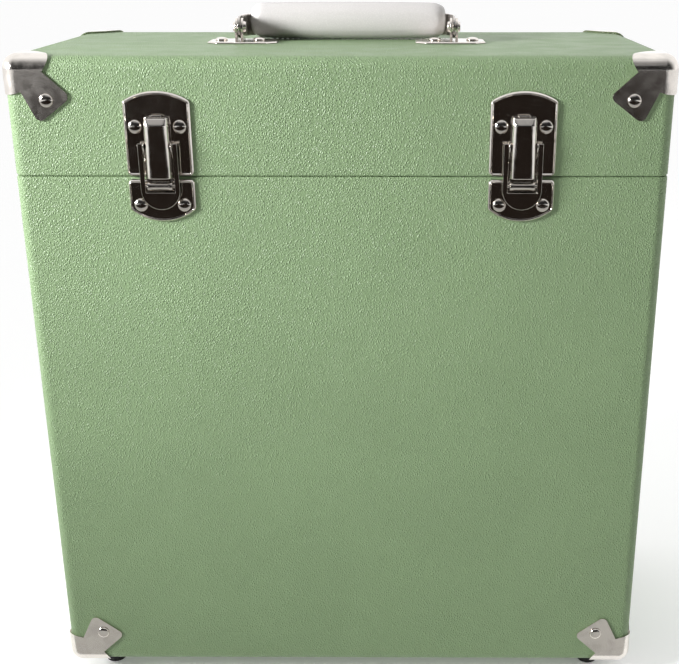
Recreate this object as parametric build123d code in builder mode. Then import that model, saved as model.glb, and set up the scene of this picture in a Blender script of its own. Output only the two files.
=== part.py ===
"""A record carrying case: a covered wooden box with a hinged lid, two toggle latches and a folding handle.

Millimetres, +Z up, front of the case towards -Y. The origin is on the floor, under the middle of the whole.
"""

import os

from build123d import *

# ---------------------------------------------------------------- driving dimensions
case_width = 350.0
case_depth = 178.0
case_height = 368.0
lid_height = 62.0
corner_radius = 7.0
rim_gap = 0.4

covering_sheet = 1.0
base_board = 9.0
lid_board = 8.0
lining_sheet = 1.0
lip_board = 2.0
lip_above_rim = 8.0
lip_below_rim = 50.0

hardware_sheet = 1.1
foot_height = 11.6
foot_top_radius = 8.0
foot_bottom_radius = 6.2
foot_edge_radius = 1.0
foot_recess_radius = 3.8
foot_recess_depth = 4.5

rivet_head_radius = 3.6
rivet_head_height = 1.8
rivet_shank_radius = 1.5
rivet_clinch_radius = 2.6
rivet_clinch_height = 0.8
screw_head_radius = 3.2
screw_head_height = 2.2
screw_bite = 7.0

# corner brackets: places on a flange, from the corner along the level edge and up the upright edge
bracket_level_reach = 26.3
bracket_level_notch = (20.8, 7.3)
bracket_level_tip = (35.3, 20.6)
bracket_upright_tip = (17.1, 34.3)
bracket_upright_notch = (9.2, 17.8)
bracket_upright_reach = 20.2
bracket_tip_radius = 3.2
bracket_hole = 22.2

# latches, heights from the parting line, distances out from the front face
latch_spread = 96.0
latch_half_width = 17.75
latch_rim_width = 1.5
latch_rim_rise = 0.6
upper_plate_bottom = 0.4
upper_plate_shoulder = 39.5
upper_plate_top = 44.7
lower_plate_top = -1.3
lower_plate_shoulder = -17.6
lower_plate_bottom = -24.2
plate_corner_radius = 2.5
upper_rivet = (11.7, 26.4)
lower_rivet = (11.65, -15.0)

lever_pivot = (4.6, 16.8)
link_pivot = (3.8, -4.3)
lever_eye_radius = 1.6
lever_pin_radius = 0.9
link_pin_radius = 0.8
pin_clearance = 0.05
lever_half_width = 10.4
lever_window_half_width = 7.8
lever_window_bottom = -7.8
lever_tab_centre = -6.6
lever_back = 3.7
lever_sheet = 1.0
lever_lug_width = 0.8
lever_lug_back = 2.0
lever_lug_heights = (-6.3, -2.0)
bearer_half_width = 7.6
bearer_ear_sheet = 0.7
bearer_ear_radius = 1.8
bearer_back = 2.0
bearer_front = 2.6
bearer_foot = -1.9
bearer_top = 14.0
bearer_ear_foot = 9.0

link_half_width = 6.7
link_back = 3.0
link_front = 7.6
link_wall = 0.8
link_edge_radius = 1.6
link_bottom = -0.2
link_top = 31.6
link_knuckle_radius = 2.4
link_web_front = 5.4
catch_half_width = 3.1
catch_clearance = 0.3
catch_front = 4.5
catch_sheet = 0.9
catch_root = 22.6
catch_bend = 27.6
catch_top = 32.6

# handle, heights from the top of the lid
handle_arm_spread = 62.4
handle_pivot_height = 8.6
handle_strap_sheet = 1.2
handle_strap_half_width = 6.2
handle_bend_radius = 3.0
handle_ear_gap = 0.3
handle_ear_sheet = 1.4
handle_ear_radius = 5.0
handle_ear_half_foot = 6.5
handle_bracket_centre = 60.3
handle_bracket_width = 40.5
handle_bracket_depth = 29.0
handle_bracket_chamfer = 6.0
handle_rivet_offset = 11.0
handle_pin_radius = 2.0
handle_pin_head_radius = 3.2
handle_pin_head_height = 1.4
handle_pin_head_taper = 20
handle_slant_start = 8.5
handle_slant_inset = 2.5
handle_slant_rise = 5.0
handle_core_inset = 3.5
handle_end_flat = 0.2
grip_length = 117.0
grip_depth = 22.0
grip_thickness = 21.0
grip_setback = 24.0
grip_lid_clearance = 0.3
grip_edge_radius = 9.0
grip_end_radius = 6.0
grip_cover_sheet = 1.3

# hinges on the back
hinge_spread = 105.0
hinge_width = 40.0
hinge_leaf_height = 20.0
hinge_barrel_radius = 2.4
hinge_pin_radius = 1.1
hinge_axis_out = 2.6
hinge_knuckle_count = 5
hinge_knuckle_gap = 0.2
hinge_notch_height = 2.8
hinge_rivet_height = 12.0
hinge_rivet_spread = 12.0

# ---------------------------------------------------------------- levels and faces that follow
front_reach = link_front
back_reach = hinge_axis_out + hinge_barrel_radius
case_centre_y = (front_reach - back_reach) / 2
front_y = case_centre_y - case_depth / 2
back_y = case_centre_y + case_depth / 2
case_bottom_z = foot_height
lid_top_z = case_bottom_z + case_height
parting_z = lid_top_z - lid_height
base_rim_z = parting_z - rim_gap / 2
lid_rim_z = parting_z + rim_gap / 2
base_wall = covering_sheet + base_board + lining_sheet
lid_wall = covering_sheet + lid_board + lining_sheet
lipped_wall = base_wall + lip_board
half_width = case_width / 2

SIDES = {"left": -1, "right": 1}
ENDS = {"front": -1, "back": 1}

os.makedirs("parts", exist_ok=True)


def save(part, name):
    """Label a finished piece and write its STEP file."""
    part.label = name
    export_step(part, f"parts/{name}.step")


def box_between(low, high, mode=Mode.ADD):
    """Box from one corner to the opposite one, in the part being built."""
    size = [upper - lower for lower, upper in zip(low, high)]
    with Locations(low):
        Box(*size, align=(Align.MIN, Align.MIN, Align.MIN), mode=mode)


def case_block(inset, low_z, high_z, rounded_end):
    """Block inset from the outside of the case, rounded on its uprights and round one end."""
    centre = (0, case_centre_y, (low_z + high_z) / 2)
    with BuildPart() as block:
        with Locations(centre):
            Box(case_width - 2 * inset, case_depth - 2 * inset, high_z - low_z)
        end_face = block.faces().sort_by(Axis.Z)[rounded_end]
        fillet(block.edges().filter_by(Axis.Z) + end_face.edges(), radius=corner_radius - inset)
    return block.part


def square_block(inset, low_z, high_z):
    """Square-cornered block inset from the outside of the case."""
    with BuildPart() as block:
        box_between(
            (-half_width + inset, front_y + inset, low_z),
            (half_width - inset, back_y - inset, high_z),
        )
    return block.part


# ---------------------------------------------------------------- rivets and the holes they fill
def rivet_form(grip):
    """Domed rivet along Z: its head seats at zero and its tail is clinched under the grip."""
    tail = -grip - rivet_clinch_height
    with BuildPart() as rivet:
        with BuildSketch(Plane.XZ):
            with BuildLine():
                SagittaArc((rivet_head_radius, 0), (-rivet_head_radius, 0), -rivet_head_height)
                Polyline(
                    (-rivet_head_radius, 0),
                    (-rivet_shank_radius, 0),
                    (-rivet_shank_radius, -grip),
                    (-rivet_clinch_radius, -grip),
                    (-rivet_clinch_radius, tail),
                    (rivet_clinch_radius, tail),
                    (rivet_clinch_radius, -grip),
                    (rivet_shank_radius, -grip),
                    (rivet_shank_radius, 0),
                    (rivet_head_radius, 0),
                )
            make_face()
            split(bisect_by=Plane.YZ)
        revolve(axis=Axis.Z)
    return rivet.part


def bore_form(grip):
    """Hole for a rivet's shank, along Z below zero."""
    with BuildPart() as bore:
        Cylinder(rivet_shank_radius, grip, align=(Align.CENTER, Align.CENTER, Align.MAX))
    return bore.part


def seat(x, y, z, normal):
    """Place where a rivet's head seats on its plate, with its axis out along the normal."""
    return Plane(origin=Vector(x, y, z) + Vector(*normal) * hardware_sheet, z_dir=normal)


def latch_plane(side):
    """Front face behind one latch: local x across, local y up from the parting line."""
    return Plane(origin=(side * latch_spread, front_y, parting_z), x_dir=(1, 0, 0), z_dir=(0, -1, 0))


def latch_side_plane(x):
    """Upright plane across a latch: local x out from the front face, local y up."""
    return Plane(origin=(x, front_y, parting_z), x_dir=(0, -1, 0), z_dir=(-1, 0, 0))


hole_x = half_width - bracket_hole
hole_front_y = front_y + bracket_hole
hole_back_y = back_y - bracket_hole
hole_y = {"front": hole_front_y, "back": hole_back_y}
face_y = {"front": front_y, "back": back_y}


def corner_seats(level):
    """Seats of the upright flanges' rivets on four corners, at one level."""
    seats = []
    for side in SIDES.values():
        for end, end_sign in ENDS.items():
            seats.append(seat(side * hole_x, face_y[end], level, (0, end_sign, 0)))
            seats.append(seat(side * half_width, hole_y[end], level, (side, 0, 0)))
    return seats


def latch_seats(offset):
    """Seats of both latches' rivets, two to a plate."""
    return [
        seat(side * latch_spread + hand * offset[0], front_y, parting_z + offset[1], (0, -1, 0))
        for side in SIDES.values()
        for hand in SIDES.values()
    ]


def hinge_seats(height):
    """Seats of both hinges' rivets on one leaf, two to a leaf."""
    return [
        seat(side * hinge_spread + hand * hinge_rivet_spread, back_y, parting_z + height, (0, 1, 0))
        for side in SIDES.values()
        for hand in SIDES.values()
    ]


handle_bracket_seats = [
    seat(side * (handle_arm_spread + hand * handle_rivet_offset), case_centre_y, lid_top_z, (0, 0, 1))
    for side in SIDES.values()
    for hand in SIDES.values()
]

rivet_groups = {
    "base": [
        (hardware_sheet + base_wall, corner_seats(case_bottom_z + bracket_hole)),
        (hardware_sheet + lipped_wall, latch_seats(lower_rivet) + hinge_seats(-hinge_rivet_height)),
    ],
    "lid": [
        (hardware_sheet + lid_wall, corner_seats(lid_top_z - bracket_hole)),
        (hardware_sheet + lid_wall, latch_seats(upper_rivet) + hinge_seats(hinge_rivet_height)),
        (hardware_sheet + lid_wall, handle_bracket_seats),
    ],
}


def gather(form, groups):
    """Rivets or bores of one body, as separate solids in one part."""
    with BuildPart() as group:
        for grip, seats in groups:
            with Locations(*seats):
                add(form(grip))
    return group.part


foot_places = [(side * hole_x, y) for side in SIDES.values() for y in hole_y.values()]
screw_tip_z = case_bottom_z + covering_sheet + screw_bite

with BuildPart() as screw_bores:
    with Locations(*[(x, y, foot_recess_depth) for x, y in foot_places]):
        Cylinder(
            rivet_shank_radius,
            screw_tip_z - foot_recess_depth,
            align=(Align.CENTER, Align.CENTER, Align.MIN),
        )

base_bores = gather(bore_form, rivet_groups["base"]) + screw_bores.part
lid_bores = gather(bore_form, rivet_groups["lid"])

save(gather(rivet_form, rivet_groups["base"]), "base_rivets")
save(gather(rivet_form, rivet_groups["lid"]), "lid_rivets")

# ---------------------------------------------------------------- boards, covering and lining
base_outside = case_block(0, case_bottom_z, base_rim_z, 0)
base_wood = case_block(covering_sheet, case_bottom_z + covering_sheet, base_rim_z, 0)
lid_outside = case_block(0, lid_rim_z, lid_top_z, -1)
lid_wood = case_block(covering_sheet, lid_rim_z, lid_top_z - covering_sheet, -1)


def board_regions(board, wall_low, wall_high, panel):
    """Corners of the five boards of one half: front and back overlap the sides, the panel fits inside."""
    inner = covering_sheet + board
    far = half_width + covering_sheet
    panel_low, panel_high = panel
    return {
        "front": ((-far, front_y, wall_low), (far, front_y + inner, wall_high)),
        "back": ((-far, back_y - inner, wall_low), (far, back_y, wall_high)),
        "left": ((-far, front_y + inner, wall_low), (-half_width + inner, back_y - inner, wall_high)),
        "right": ((half_width - inner, front_y + inner, wall_low), (far, back_y - inner, wall_high)),
        "panel": (
            (-half_width + inner, front_y + inner, panel_low),
            (half_width - inner, back_y - inner, panel_high),
        ),
    }


base_panel = (case_bottom_z + covering_sheet, case_bottom_z + covering_sheet + base_board)
lid_panel = (lid_top_z - covering_sheet - lid_board, lid_top_z - covering_sheet)
base_regions = board_regions(base_board, case_bottom_z, base_rim_z, base_panel)
lid_regions = board_regions(lid_board, lid_rim_z, lid_top_z, lid_panel)
panel_names = {"base": "base_bottom", "lid": "lid_top"}

for half, wood, bores, regions in (
    ("base", base_wood, base_bores, base_regions),
    ("lid", lid_wood, lid_bores, lid_regions),
):
    for place, (low, high) in regions.items():
        with BuildPart() as case_board:
            add(wood)
            box_between(low, high, mode=Mode.INTERSECT)
            add(bores, mode=Mode.SUBTRACT)
        save(case_board.part, panel_names[half] if place == "panel" else f"{half}_{place}_board")

with BuildPart() as base_covering:
    add(base_outside)
    add(base_wood, mode=Mode.SUBTRACT)
    add(base_bores, mode=Mode.SUBTRACT)
save(base_covering.part, "base_covering")

with BuildPart() as lid_covering:
    add(lid_outside)
    add(lid_wood, mode=Mode.SUBTRACT)
    add(lid_bores, mode=Mode.SUBTRACT)
save(lid_covering.part, "lid_covering")

base_floor_z = case_bottom_z + base_wall
lid_ceiling_z = lid_top_z - lid_wall

with BuildPart() as base_lining:
    add(square_block(base_wall - lining_sheet, base_floor_z - lining_sheet, base_rim_z))
    add(square_block(base_wall, base_floor_z, base_rim_z), mode=Mode.SUBTRACT)
    add(base_bores, mode=Mode.SUBTRACT)
save(base_lining.part, "base_lining")

with BuildPart() as lid_lining:
    add(square_block(lid_wall - lining_sheet, lid_rim_z, lid_ceiling_z + lining_sheet))
    add(square_block(lid_wall, lid_rim_z, lid_ceiling_z), mode=Mode.SUBTRACT)
    add(lid_bores, mode=Mode.SUBTRACT)
save(lid_lining.part, "lid_lining")

# ---------------------------------------------------------------- lip that guides the lid onto the base
lip_low = parting_z - lip_below_rim
lip_high = parting_z + lip_above_rim
lip_x = half_width - base_wall
lip_regions = {
    "front": ((-lip_x, front_y + base_wall, lip_low), (lip_x, front_y + lipped_wall, lip_high)),
    "back": ((-lip_x, back_y - lipped_wall, lip_low), (lip_x, back_y - base_wall, lip_high)),
    "left": (
        (-lip_x, front_y + lipped_wall, lip_low),
        (-lip_x + lip_board, back_y - lipped_wall, lip_high),
    ),
    "right": (
        (lip_x - lip_board, front_y + lipped_wall, lip_low),
        (lip_x, back_y - lipped_wall, lip_high),
    ),
}
for place, (low, high) in lip_regions.items():
    with BuildPart() as lip:
        box_between(low, high)
        add(base_bores, mode=Mode.SUBTRACT)
    save(lip.part, f"lip_{place}")

# ---------------------------------------------------------------- corner brackets
form_size = bracket_level_tip[0] + bracket_tip_radius
level_end_slope = (bracket_level_reach - bracket_level_notch[0]) / bracket_level_notch[1]
upright_end_slope = (bracket_upright_reach - bracket_upright_notch[1]) / bracket_upright_notch[0]
bracket_legs = (
    (Vector(1, 0, 0), bracket_level_reach, level_end_slope),
    (Vector(0, 1, 0), bracket_level_reach, level_end_slope),
    (Vector(0, 0, 1), bracket_upright_reach, upright_end_slope),
)


def corner_solid(reach_out, radius):
    """Solid corner at the origin, filling positive x, y and z, its three edges rounded."""
    with BuildPart() as corner:
        box_between((-reach_out, -reach_out, -reach_out), (form_size, form_size, form_size))
        near = [corner.edges().filter_by(axis) for axis in (Axis.X, Axis.Y, Axis.Z)]
        near_edges = [edges.sort_by(lambda edge: edge.center().length)[0] for edges in near]
        fillet(near_edges, radius=radius)
    return corner.part


with BuildPart() as bracket_form:
    add(corner_solid(hardware_sheet, corner_radius + hardware_sheet))
    add(corner_solid(0, corner_radius), mode=Mode.SUBTRACT)
    for along, reach, slope in bracket_legs:
        across = Vector(1, 1, 1) - along
        split(bisect_by=Plane(origin=along * reach, z_dir=along + across * slope), keep=Keep.BOTTOM)
    for flange_plane, outward in ((Plane.XZ, 1), (Plane.YZ, -1)):
        with BuildSketch(flange_plane):
            with BuildLine():
                Polyline(
                    (bracket_upright_notch[0], bracket_level_notch[1]),
                    bracket_level_notch,
                    bracket_level_tip,
                    bracket_upright_tip,
                    bracket_upright_notch,
                    close=True,
                )
            outline = make_face()
            tips = outline.vertices().sort_by(lambda corner: corner.center().length)[-2:]
            fillet(tips, radius=bracket_tip_radius)
        extrude(amount=outward * hardware_sheet)
        with BuildSketch(flange_plane):
            with Locations((bracket_hole, bracket_hole)):
                Circle(rivet_shank_radius)
        extrude(amount=outward * hardware_sheet, mode=Mode.SUBTRACT)


def in_corner(shape, side, end, level):
    """The corner form turned to one of the case's eight corners."""
    corner = Vector(side * half_width, face_y["front"] if end < 0 else face_y["back"], 0)
    if side > 0:
        shape = shape.mirror(Plane.YZ)
    if end > 0:
        shape = shape.mirror(Plane.XZ)
    if level == "lid":
        return shape.mirror(Plane.XY).moved(Location(corner + Vector(0, 0, lid_top_z)))
    return shape.moved(Location(corner + Vector(0, 0, case_bottom_z)))


for half in ("base", "lid"):
    for end_name, end in ENDS.items():
        for side_name, side in SIDES.items():
            with BuildPart() as bracket:
                add(in_corner(bracket_form.part, side, end, half))
            save(bracket.part, f"{half}_corner_{end_name}_{side_name}")

# ---------------------------------------------------------------- feet
with BuildPart() as foot_form:
    Cone(
        foot_bottom_radius,
        foot_top_radius,
        foot_height,
        align=(Align.CENTER, Align.CENTER, Align.MIN),
    )
    fillet(foot_form.edges().sort_by(Axis.Z)[0], radius=foot_edge_radius)
    Cylinder(
        foot_recess_radius,
        foot_recess_depth,
        align=(Align.CENTER, Align.CENTER, Align.MIN),
        mode=Mode.SUBTRACT,
    )
    Cylinder(
        rivet_shank_radius,
        foot_height,
        align=(Align.CENTER, Align.CENTER, Align.MIN),
        mode=Mode.SUBTRACT,
    )

for end_name in ENDS:
    for side_name, side in SIDES.items():
        with BuildPart() as foot:
            with Locations((side * hole_x, hole_y[end_name], 0)):
                add(foot_form.part)
        save(foot.part, f"foot_{end_name}_{side_name}")

with BuildPart() as foot_screws:
    with Locations(*[(x, y, foot_recess_depth) for x, y in foot_places]):
        Cylinder(
            rivet_shank_radius,
            screw_tip_z - foot_recess_depth,
            align=(Align.CENTER, Align.CENTER, Align.MIN),
        )
        Cylinder(
            screw_head_radius,
            screw_head_height,
            align=(Align.CENTER, Align.CENTER, Align.MAX),
        )
save(foot_screws.part, "foot_screws")


# ---------------------------------------------------------------- latches
def plate_outline(straight_end, shoulder, crown):
    """Latch plate outline: square at one end, arched from shoulder to shoulder at the other."""
    with BuildLine() as outline:
        Polyline(
            (-latch_half_width, shoulder),
            (-latch_half_width, straight_end),
            (latch_half_width, straight_end),
            (latch_half_width, shoulder),
        )
        ThreePointArc((latch_half_width, shoulder), (0, crown), (-latch_half_width, shoulder))
    face = make_face(outline.edges())
    fillet(face.vertices(), radius=plate_corner_radius)


def latch_plate(side, straight_end, shoulder, crown):
    """Stamped plate with a raised rim, in the part being built."""
    with BuildSketch(latch_plane(side)) as sheet:
        plate_outline(straight_end, shoulder, crown)
    extrude(sheet.sketch, amount=hardware_sheet)
    with BuildSketch(latch_plane(side).offset(hardware_sheet)) as rim:
        plate_outline(straight_end, shoulder, crown)
        offset(amount=-latch_rim_width, mode=Mode.SUBTRACT)
    extrude(rim.sketch, amount=latch_rim_rise)


def bar_across(x, profile_centre, radius, half_length, mode=Mode.ADD):
    """Round bar along X in a latch, at a place out from the front face and up from the parting line."""
    with BuildSketch(latch_side_plane(x)) as profile:
        with Locations(profile_centre):
            Circle(radius)
    extrude(profile.sketch, amount=half_length, both=True, mode=mode)


for side_name, side in SIDES.items():
    centre_x = side * latch_spread
    face = latch_plane(side)

    with BuildPart() as lower_plate:
        latch_plate(side, lower_plate_top, lower_plate_shoulder, lower_plate_bottom)
        with BuildSketch(face.offset(bearer_back)):
            with Locations((0, (bearer_foot + bearer_top) / 2)):
                Rectangle(2 * bearer_half_width, bearer_top - bearer_foot)
        extrude(amount=bearer_front - bearer_back)
        with BuildSketch(face):
            with Locations((0, (bearer_foot + lower_plate_top) / 2)):
                Rectangle(2 * bearer_half_width, lower_plate_top - bearer_foot)
        extrude(amount=bearer_front)
        for hand in SIDES.values():
            ear_x = centre_x + hand * (bearer_half_width - bearer_ear_sheet / 2)
            with BuildSketch(latch_side_plane(ear_x)):
                with Locations(lever_pivot):
                    Circle(bearer_ear_radius)
                with BuildLine():
                    Line((bearer_back, bearer_ear_foot), (bearer_back, bearer_top))
                make_hull()
            extrude(amount=bearer_ear_sheet / 2, both=True)
        bar_across(centre_x, lever_pivot, lever_pin_radius, lever_half_width, mode=Mode.SUBTRACT)
        add(base_bores, mode=Mode.SUBTRACT)
    save(lower_plate.part, f"latch_lower_plate_{side_name}")

    with BuildPart() as upper_plate:
        latch_plate(side, upper_plate_bottom, upper_plate_shoulder, upper_plate_top)
        with BuildSketch(latch_side_plane(centre_x)):
            with BuildLine():
                Polyline(
                    (hardware_sheet / 2, catch_root),
                    (catch_front, catch_bend),
                    (catch_front, catch_top),
                    (catch_front - catch_sheet, catch_top),
                    (catch_front - catch_sheet, catch_bend + catch_sheet / 2),
                    (hardware_sheet / 2, catch_root + 2 * catch_sheet),
                    close=True,
                )
            make_face()
        extrude(amount=catch_half_width, both=True)
        add(lid_bores, mode=Mode.SUBTRACT)
    save(upper_plate.part, f"latch_upper_plate_{side_name}")

    with BuildPart() as lever:
        with BuildSketch(face.offset(lever_back)):
            with BuildLine():
                Polyline(
                    (-lever_half_width, lever_tab_centre),
                    (-lever_half_width, lever_pivot[1]),
                    (lever_half_width, lever_pivot[1]),
                    (lever_half_width, lever_tab_centre),
                )
                RadiusArc(
                    (lever_half_width, lever_tab_centre),
                    (-lever_half_width, lever_tab_centre),
                    lever_half_width,
                )
            make_face()
            with Locations((0, (lever_window_bottom + lever_pivot[1]) / 2)):
                Rectangle(
                    2 * lever_window_half_width,
                    lever_pivot[1] - lever_window_bottom,
                    mode=Mode.SUBTRACT,
                )
        extrude(amount=lever_sheet)
        arm_width = lever_half_width - lever_window_half_width
        for hand in SIDES.values():
            arm_x = centre_x + hand * (lever_half_width - arm_width / 2)
            bar_across(arm_x, lever_pivot, lever_eye_radius, arm_width / 2)
            lug_x = centre_x + hand * (lever_window_half_width + lever_lug_width / 2)
            lug_middle = (lever_lug_heights[0] + lever_lug_heights[1]) / 2
            with BuildSketch(latch_side_plane(lug_x)):
                with Locations(((lever_lug_back + lever_back) / 2, lug_middle)):
                    Rectangle(lever_back - lever_lug_back, lever_lug_heights[1] - lever_lug_heights[0])
            extrude(amount=lever_lug_width / 2, both=True)
        eye_bore = lever_pin_radius + pin_clearance
        bar_across(centre_x, lever_pivot, eye_bore, lever_half_width, mode=Mode.SUBTRACT)
        link_pin_half = lever_window_half_width + lever_lug_width
        bar_across(centre_x, link_pivot, link_pin_radius, link_pin_half, mode=Mode.SUBTRACT)
    save(lever.part, f"latch_lever_{side_name}")

    with BuildPart() as link_pin:
        bar_across(centre_x, link_pivot, link_pin_radius, link_pin_half)
    save(link_pin.part, f"latch_link_pin_{side_name}")

    with BuildPart() as link:
        with BuildSketch(face.offset(link_back)):
            with Locations((0, (link_bottom + link_top) / 2)):
                Rectangle(2 * link_half_width, link_top - link_bottom)
        extrude(amount=link_front - link_back)
        front_edges = link.faces().sort_by(Axis.Y)[0].edges()
        fillet(front_edges.sort_by(Axis.Z)[1:], radius=link_edge_radius)
        with BuildSketch(face.offset(link_back)):
            hollow_top = link_top - link_wall
            with Locations((0, (link_bottom + hollow_top) / 2)):
                Rectangle(2 * (link_half_width - link_wall), hollow_top - link_bottom)
        extrude(amount=link_front - link_wall - link_back, mode=Mode.SUBTRACT)
        with BuildSketch(face.offset(link_back)):
            with Locations((0, link_top)):
                Rectangle(2 * (catch_half_width + catch_clearance), 4 * link_wall)
        extrude(amount=catch_front + catch_clearance - link_back, mode=Mode.SUBTRACT)
        bar_across(centre_x, link_pivot, link_knuckle_radius, link_half_width)
        for hand in SIDES.values():
            web_x = centre_x + hand * (link_half_width - link_wall / 2)
            with BuildSketch(latch_side_plane(web_x)):
                with Locations(((link_back + link_web_front) / 2, (link_pivot[1] + link_bottom) / 2)):
                    Rectangle(link_web_front - link_back, link_bottom - link_pivot[1] + link_wall)
            extrude(amount=link_wall / 2, both=True)
        knuckle_bore = link_pin_radius + pin_clearance
        bar_across(centre_x, link_pivot, knuckle_bore, link_half_width, mode=Mode.SUBTRACT)
    save(link.part, f"latch_link_{side_name}")

with BuildPart() as lever_pins:
    pin_inner = bearer_half_width - bearer_ear_sheet
    pin_middle = (pin_inner + lever_half_width) / 2
    for side in SIDES.values():
        for hand in SIDES.values():
            pin_x = side * latch_spread + hand * pin_middle
            bar_across(pin_x, lever_pivot, lever_pin_radius, (lever_half_width - pin_inner) / 2)
save(lever_pins.part, "latch_lever_pins")

# ---------------------------------------------------------------- handle
handle_pivot_z = lid_top_z + handle_pivot_height
grip_centre_y = case_centre_y + grip_setback
grip_centre_z = lid_top_z + grip_lid_clearance + grip_thickness / 2
arm_start_y = case_centre_y - handle_strap_half_width
arm_slant_y = case_centre_y + handle_slant_start
arm_turn = (handle_arm_spread - handle_slant_inset, grip_centre_y - handle_slant_rise)
core_end_x = grip_length / 2 - handle_core_inset

with BuildPart() as handle_strap:
    with BuildSketch(Plane.XY.offset(handle_pivot_z)):
        with BuildLine():
            FilletPolyline(
                (-handle_arm_spread, arm_start_y),
                (-handle_arm_spread, arm_slant_y),
                (-arm_turn[0], arm_turn[1]),
                (-core_end_x, grip_centre_y),
                (core_end_x, grip_centre_y),
                (arm_turn[0], arm_turn[1]),
                (handle_arm_spread, arm_slant_y),
                (handle_arm_spread, arm_start_y),
                radius=handle_bend_radius,
            )
        trace(line_width=handle_strap_sheet)
    extrude(amount=handle_strap_half_width, both=True)
    end_edges = handle_strap.edges().filter_by(Axis.X).group_by(Axis.Y)[0]
    fillet(end_edges, radius=handle_strap_half_width - handle_end_flat / 2)
    with BuildSketch(Plane.YZ):
        with Locations((case_centre_y, handle_pivot_z)):
            Circle(handle_pin_radius + pin_clearance)
    extrude(amount=half_width, both=True, mode=Mode.SUBTRACT)
save(handle_strap.part, "handle_strap")


def grip_block(inset):
    """Rounded bar of the grip, inset from its outside."""
    with BuildPart() as bar:
        with Locations((0, grip_centre_y, grip_centre_z)):
            Box(grip_length - 2 * inset, grip_depth - 2 * inset, grip_thickness - 2 * inset)
        fillet(bar.edges().filter_by(Axis.X), radius=grip_edge_radius - inset)
        end_edges = bar.faces().sort_by(Axis.X)[0].edges() + bar.faces().sort_by(Axis.X)[-1].edges()
        fillet(end_edges, radius=grip_end_radius - inset)
    return bar.part


with BuildPart() as handle_padding:
    add(grip_block(grip_cover_sheet))
    add(handle_strap.part, mode=Mode.SUBTRACT)
save(handle_padding.part, "handle_padding")

with BuildPart() as handle_cover:
    add(grip_block(0))
    add(grip_block(grip_cover_sheet), mode=Mode.SUBTRACT)
    add(handle_strap.part, mode=Mode.SUBTRACT)
save(handle_cover.part, "handle_cover")

outer_ear_x = handle_arm_spread + handle_strap_sheet / 2 + handle_ear_gap + handle_ear_sheet / 2
inner_ear_x = handle_arm_spread - handle_strap_sheet / 2 - handle_ear_gap - handle_ear_sheet / 2
plate_top_z = lid_top_z + hardware_sheet

for side_name, side in SIDES.items():
    with BuildPart() as handle_bracket:
        with BuildSketch(Plane.XY.offset(lid_top_z)):
            with Locations((side * handle_bracket_centre, case_centre_y)):
                plate = Rectangle(handle_bracket_width, handle_bracket_depth)
            chamfer(plate.vertices(), length=handle_bracket_chamfer)
        extrude(amount=hardware_sheet)
        for ear_x in (outer_ear_x, inner_ear_x):
            with BuildSketch(Plane.YZ.offset(side * ear_x)):
                with Locations((case_centre_y, handle_pivot_z)):
                    Circle(handle_ear_radius)
                with BuildLine():
                    Line(
                        (case_centre_y - handle_ear_half_foot, plate_top_z),
                        (case_centre_y + handle_ear_half_foot, plate_top_z),
                    )
                make_hull()
            extrude(amount=handle_ear_sheet / 2, both=True)
        with BuildSketch(Plane.YZ):
            with Locations((case_centre_y, handle_pivot_z)):
                Circle(handle_pin_radius)
        extrude(amount=side * half_width, mode=Mode.SUBTRACT)
        add(lid_bores, mode=Mode.SUBTRACT)
    save(handle_bracket.part, f"handle_bracket_{side_name}")

pin_half_length = outer_ear_x + handle_ear_sheet / 2 - handle_arm_spread

with BuildPart() as handle_pins:
    for side in SIDES.values():
        pin_plane = Plane(origin=(side * handle_arm_spread, case_centre_y, handle_pivot_z), z_dir=(1, 0, 0))
        with BuildSketch(pin_plane):
            Circle(handle_pin_radius)
        extrude(amount=pin_half_length, both=True)
        for hand in SIDES.values():
            with BuildSketch(pin_plane.offset(hand * pin_half_length)):
                Circle(handle_pin_head_radius)
            extrude(amount=hand * handle_pin_head_height, taper=handle_pin_head_taper)
save(handle_pins.part, "handle_pivot_pins")

# ---------------------------------------------------------------- hinges
hinge_axis_y = back_y + hinge_axis_out
knuckle_pitch = hinge_width / hinge_knuckle_count
knuckle_length = knuckle_pitch - hinge_knuckle_gap


def hinge_leaf(hinge_x, direction, knuckles, other_knuckles, bore_radius):
    """One leaf with its knuckles, up or down from the axis, in the part being built."""
    near = parting_z + direction * rim_gap
    far = parting_z + direction * hinge_leaf_height
    clear = parting_z + direction * hinge_notch_height
    low_x = hinge_x - hinge_width / 2
    box_between(
        (low_x, back_y, min(near, far)),
        (low_x + hinge_width, back_y + hardware_sheet, max(near, far)),
    )
    for index in other_knuckles:
        box_between(
            (low_x + index * knuckle_pitch, back_y, min(near, clear)),
            (low_x + (index + 1) * knuckle_pitch, back_y + hardware_sheet, max(near, clear)),
            mode=Mode.SUBTRACT,
        )
    barrel = Plane.YZ.offset(hinge_x - hinge_width / 2)
    for index in knuckles:
        start = index * knuckle_pitch + hinge_knuckle_gap / 2
        with BuildSketch(barrel.offset(start)) as knuckle:
            with Locations((hinge_axis_y, parting_z)):
                Circle(hinge_barrel_radius)
        extrude(knuckle.sketch, amount=knuckle_length)
    with BuildSketch(barrel) as bore:
        with Locations((hinge_axis_y, parting_z)):
            Circle(bore_radius)
    extrude(bore.sketch, amount=hinge_width, mode=Mode.SUBTRACT)


base_knuckles = range(0, hinge_knuckle_count, 2)
lid_knuckles = range(1, hinge_knuckle_count, 2)

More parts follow.
